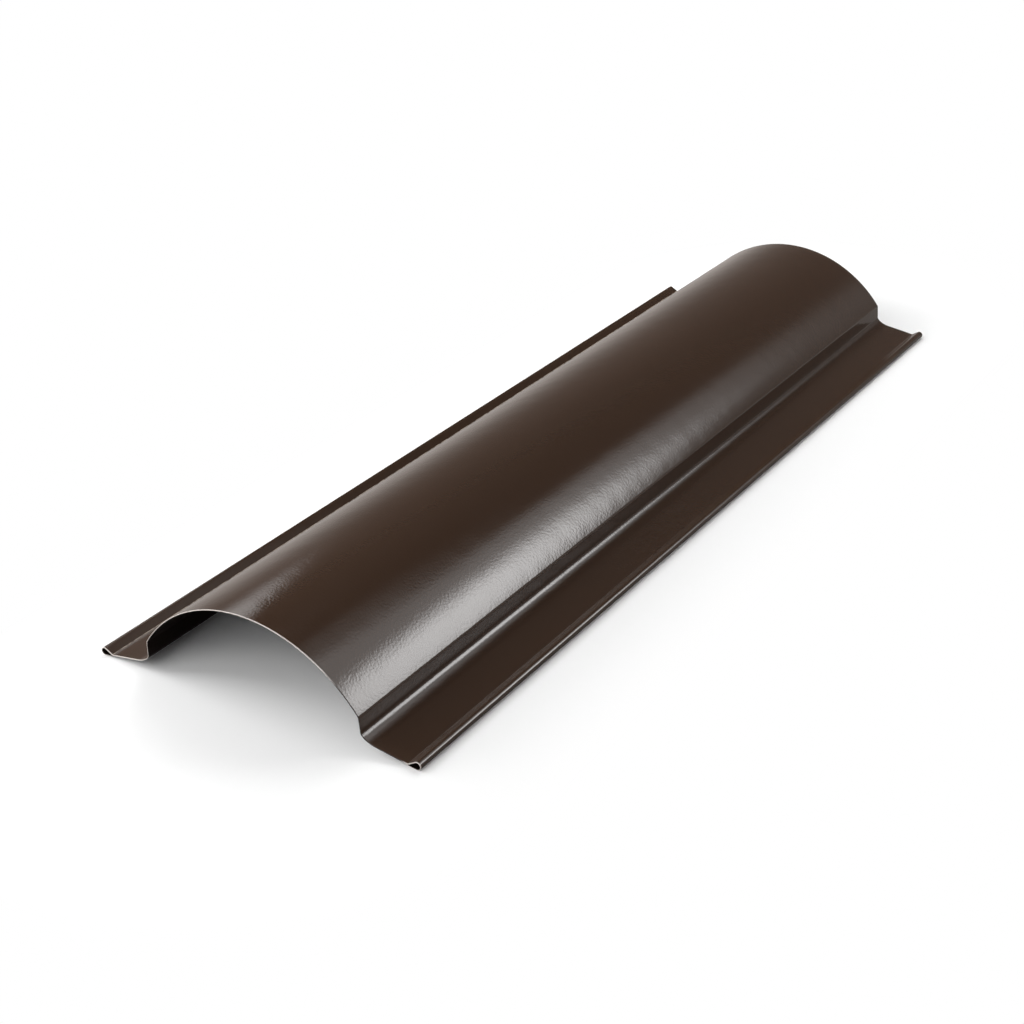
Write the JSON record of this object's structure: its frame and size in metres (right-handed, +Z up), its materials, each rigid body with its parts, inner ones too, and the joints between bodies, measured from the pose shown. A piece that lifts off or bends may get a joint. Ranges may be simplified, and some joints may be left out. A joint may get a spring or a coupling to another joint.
{
  "type": "roof ridge cap",
  "caption": "Half-round sheet-steel roof ridge cap: an arch with a short steep web, an outward-falling flange and a rolled bead along each side.",
  "frame": {"origin": "middle of the length and width, on the floor that the two beads rest on", "axes": "+X across the ridge, +Y along the ridge, +Z up through the crown"},
  "size_m": [0.2714, 0.8, 0.0704],
  "materials": {
    "coated_steel": "glossy chocolate-brown coil coating on both faces, with bare zinc-coated steel on the cut ends"
  },
  "bodies": {
    "root": {"ridge_cap": "coated_steel"}
  },
  "joints": []
}
